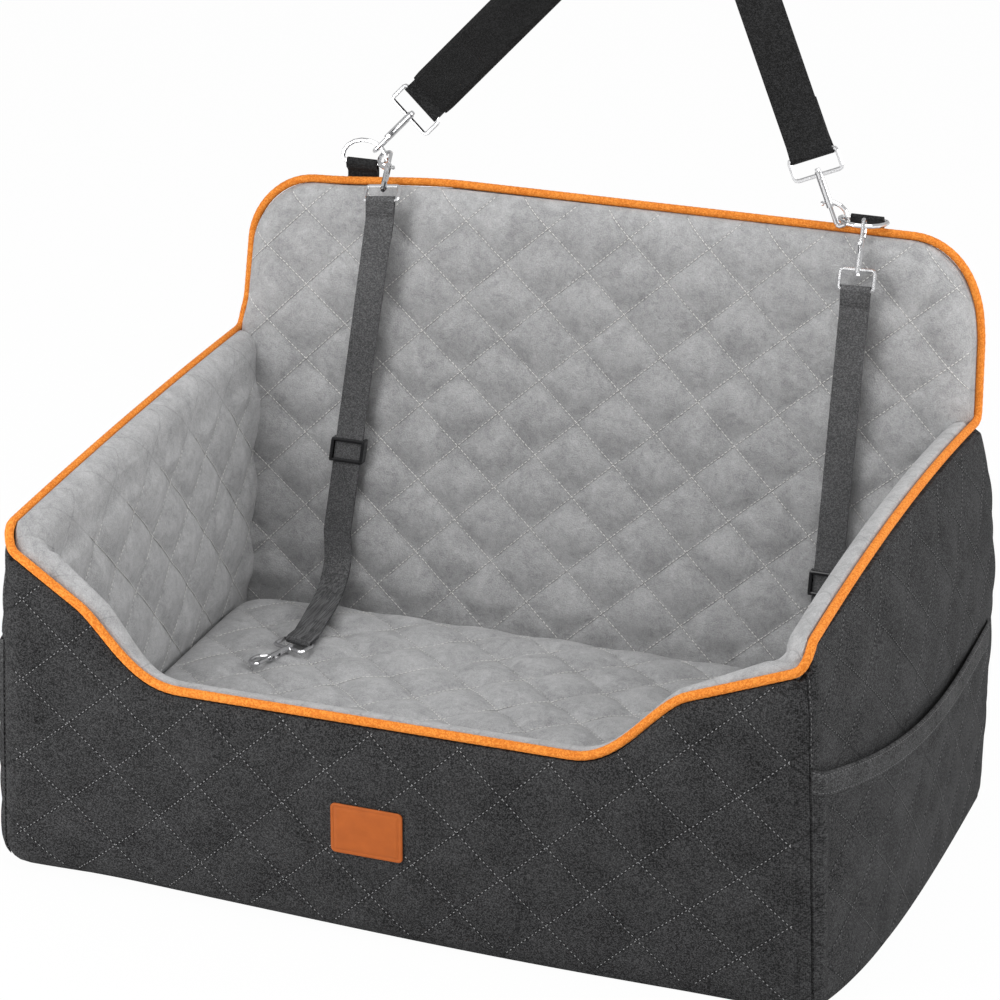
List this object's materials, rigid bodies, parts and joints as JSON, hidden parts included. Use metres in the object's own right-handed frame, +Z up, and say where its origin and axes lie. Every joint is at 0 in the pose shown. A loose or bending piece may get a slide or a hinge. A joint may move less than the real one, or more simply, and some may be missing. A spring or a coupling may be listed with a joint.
{
  "type": "dog car seat",
  "caption": "Padded, quilted car seat for a small dog, with a high backrest, a low front entry, two snap-hook tethers and a clip-on shoulder strap",
  "frame": {"origin": "centre of the base where it stands on the floor", "axes": "+X to the right seen from the front, +Y to the back where the backrest is, +Z up"},
  "size_m": [0.7422, 0.5383, 0.7791],
  "materials": {
    "charcoal_cloth": "woven, quilted",
    "grey_plush": "short plush, quilted",
    "foam": "upholstery foam",
    "base_cloth": "coated cloth",
    "base_board": "stiff board",
    "orange_piping": "corded piping",
    "label_leather": "smooth, bare",
    "chrome": "polished",
    "tether_webbing": "woven webbing",
    "carry_webbing": "basket-weave webbing",
    "pad_cloth": "padded sleeve",
    "black_plastic": "glossy"
  },
  "bodies": {
    "seat": {"base_panel": "base_cloth", "base_board": "base_board", "floor_lining": "grey_plush", "wall_piping": "orange_piping", "backrest_piping": "orange_piping", "label": "label_leather", "seat_cushion": "grey_plush", "left_pocket": "charcoal_cloth", "right_pocket": "charcoal_cloth", "left_pocket_binding": "charcoal_cloth", "right_pocket_binding": "charcoal_cloth", "left_ring_tab": "carry_webbing", "right_ring_tab": "carry_webbing", "front_cover": "charcoal_cloth", "front_foam": "foam", "front_lining": "grey_plush", "left_cover": "charcoal_cloth", "left_foam": "foam", "left_lining": "grey_plush", "right_cover": "charcoal_cloth", "right_foam": "foam", "right_lining": "grey_plush", "back_cover": "charcoal_cloth", "back_foam": "foam", "back_lining": "grey_plush"},
    "carry_strap": {"carry_webbing": "carry_webbing", "carry_left_eye": "chrome", "carry_right_eye": "chrome", "left_d_ring": "chrome"},
    "shoulder_pad": {"shoulder_pad": "pad_cloth"},
    "right_d_ring": {"right_d_ring": "chrome"},
    "carry_left_hook": {"carry_left_hook": "chrome"},
    "carry_left_bolt": {"carry_left_bolt": "chrome"},
    "left_tether_upper_eye": {"left_tether_upper_eye": "chrome"},
    "left_tether_webbing": {"left_tether_webbing": "tether_webbing"},
    "left_tether_slider": {"left_tether_slider": "black_plastic"},
    "left_tether_upper_hook": {"left_tether_upper_hook": "chrome"},
    "left_tether_upper_bolt": {"left_tether_upper_bolt": "chrome"},
    "left_tether_lower_eye": {"left_tether_lower_eye": "chrome"},
    "left_tether_lower_hook": {"left_tether_lower_hook": "chrome"},
    "left_tether_lower_bolt": {"left_tether_lower_bolt": "chrome"},
    "carry_right_hook": {"carry_right_hook": "chrome"},
    "carry_right_bolt": {"carry_right_bolt": "chrome"},
    "right_tether_upper_eye": {"right_tether_upper_eye": "chrome"},
    "right_tether_webbing": {"right_tether_webbing": "tether_webbing"},
    "right_tether_slider": {"right_tether_slider": "black_plastic"},
    "right_tether_upper_hook": {"right_tether_upper_hook": "chrome"},
    "right_tether_upper_bolt": {"right_tether_upper_bolt": "chrome"},
    "right_tether_lower_eye": {"right_tether_lower_eye": "chrome"},
    "right_tether_lower_hook": {"right_tether_lower_hook": "chrome"},
    "right_tether_lower_bolt": {"right_tether_lower_bolt": "chrome"}
  },
  "joints": [
    {"name": "carry_strap_swing", "type": "hinge", "parent": "seat", "child": "carry_strap", "pos_m": [-0.0099, 0.25836, 0.48508], "axis": [0.9998, -0.0192, -0.001], "range_deg": [-5, 20]},
    {"name": "shoulder_pad_slide", "type": "slide", "parent": "carry_strap", "child": "shoulder_pad", "axis": [0.6785, -0.0081, 0.7345], "range_m": [0, 0.03]},
    {"name": "carry_left_swivel", "type": "hinge", "parent": "carry_strap", "child": "carry_left_hook", "pos_m": [-0.18592, 0.25839, 0.52901], "axis": [-0.6786, 0, -0.7345], "range_deg": [-15, 15]},
    {"name": "carry_right_swivel", "type": "hinge", "parent": "carry_strap", "child": "carry_right_hook", "pos_m": [0.18674, 0.25423, 0.51762], "axis": [0.3932, 0, -0.9195], "range_deg": [-15, 5]},
    {"name": "carry_left_bolt_slide", "type": "slide", "parent": "carry_left_hook", "child": "carry_left_bolt", "axis": [0.6786, 0, 0.7345], "range_m": [0, 0.0065], "stiffness_N_per_m": 120, "springref_m": -0.001},
    {"name": "carry_right_bolt_slide", "type": "slide", "parent": "carry_right_hook", "child": "carry_right_bolt", "axis": [-0.3932, 0, 0.9195], "range_m": [0, 0.0065], "stiffness_N_per_m": 120, "springref_m": -0.001},
    {"name": "right_ring_lift", "type": "hinge", "parent": "seat", "child": "right_d_ring", "pos_m": [0.225, 0.26249, 0.4853], "axis": [-1, 0, 0], "range_deg": [0, 10]},
    {"name": "left_tether_lift", "type": "hinge", "parent": "seat", "child": "left_tether_upper_eye", "pos_m": [-0.20495, 0.26249, 0.49273], "axis": [-1, 0, 0], "range_deg": [0, 45]},
    {"name": "left_tether_upper_swivel", "type": "hinge", "parent": "left_tether_upper_eye", "child": "left_tether_upper_hook", "pos_m": [-0.19589, 0.23438, 0.47579], "axis": [-0.1506, 0.8332, 0.5321], "range_deg": [-5, 10]},
    {"name": "left_tether_upper_bolt_slide", "type": "slide", "parent": "left_tether_upper_hook", "child": "left_tether_upper_bolt", "axis": [0.1506, -0.8332, -0.5321], "range_m": [0, 0.0065], "stiffness_N_per_m": 120, "springref_m": -0.001},
    {"name": "left_tether_strap_swing", "type": "hinge", "parent": "left_tether_upper_eye", "child": "left_tether_webbing", "pos_m": [-0.19285, 0.21755, 0.46504], "axis": [-0.9886, -0.1269, -0.081], "range_deg": [0, 60]},
    {"name": "left_tether_slider_slide", "type": "slide", "parent": "left_tether_webbing", "child": "left_tether_slider", "axis": [0.102, 0.0406, 0.994], "range_m": [0, 0.035]},
    {"name": "left_tether_lower_eye_lift", "type": "hinge", "parent": "left_tether_webbing", "child": "left_tether_lower_eye", "pos_m": [-0.198, 0.05603, 0.1115], "axis": [-0.962, 0.2727, 0.0144], "range_deg": [0, 80]},
    {"name": "left_tether_lower_swivel", "type": "hinge", "parent": "left_tether_lower_eye", "child": "left_tether_lower_hook", "pos_m": [-0.20352, 0.03663, 0.11048], "axis": [0.273, 0.9607, 0.0506], "range_deg": [0, 10]},
    {"name": "left_tether_lower_bolt_slide", "type": "slide", "parent": "left_tether_lower_hook", "child": "left_tether_lower_bolt", "axis": [0.273, 0.9607, 0.0506], "range_m": [0, 0.0065], "stiffness_N_per_m": 120, "springref_m": -0.001},
    {"name": "right_tether_lift", "type": "hinge", "parent": "right_d_ring", "child": "right_tether_upper_eye", "pos_m": [0.229, 0.24202, 0.48423], "axis": [-1, 0, 0], "range_deg": [0, 60]},
    {"name": "right_tether_upper_swivel", "type": "hinge", "parent": "right_tether_upper_eye", "child": "right_tether_upper_hook", "pos_m": [0.23001, 0.22662, 0.45388], "axis": [-0.03, 0.3417, 0.9393], "range_deg": [-15, 15]},
    {"name": "right_tether_upper_bolt_slide", "type": "slide", "parent": "right_tether_upper_hook", "child": "right_tether_upper_bolt", "axis": [0.03, -0.3417, -0.9393], "range_m": [0, 0.0065], "stiffness_N_per_m": 120, "springref_m": -0.001},
    {"name": "right_tether_strap_swing", "type": "hinge", "parent": "right_tether_upper_eye", "child": "right_tether_webbing", "pos_m": [0.23062, 0.21971, 0.43491], "axis": [-0.9996, -0.0102, -0.0282], "range_deg": [0, 60]},
    {"name": "right_tether_slider_slide", "type": "slide", "parent": "right_tether_webbing", "child": "right_tether_slider", "axis": [0.017, 0.0539, 0.9984], "range_m": [0, 0.035]},
    {"name": "right_tether_lower_eye_lift", "type": "hinge", "parent": "right_tether_webbing", "child": "right_tether_lower_eye", "pos_m": [0.207, 0.06003, 0.1115], "axis": [-0.9795, -0.2014, -0.0104], "range_deg": [0, 80]},
    {"name": "right_tether_lower_swivel", "type": "hinge", "parent": "right_tether_lower_eye", "child": "right_tether_lower_hook", "pos_m": [0.21107, 0.04027, 0.11048], "axis": [-0.2017, 0.9782, 0.0504], "range_deg": [0, 10]},
    {"name": "right_tether_lower_bolt_slide", "type": "slide", "parent": "right_tether_lower_hook", "child": "right_tether_lower_bolt", "axis": [-0.2017, 0.9782, 0.0504], "range_m": [0, 0.0065], "stiffness_N_per_m": 120, "springref_m": -0.001}
  ]
}
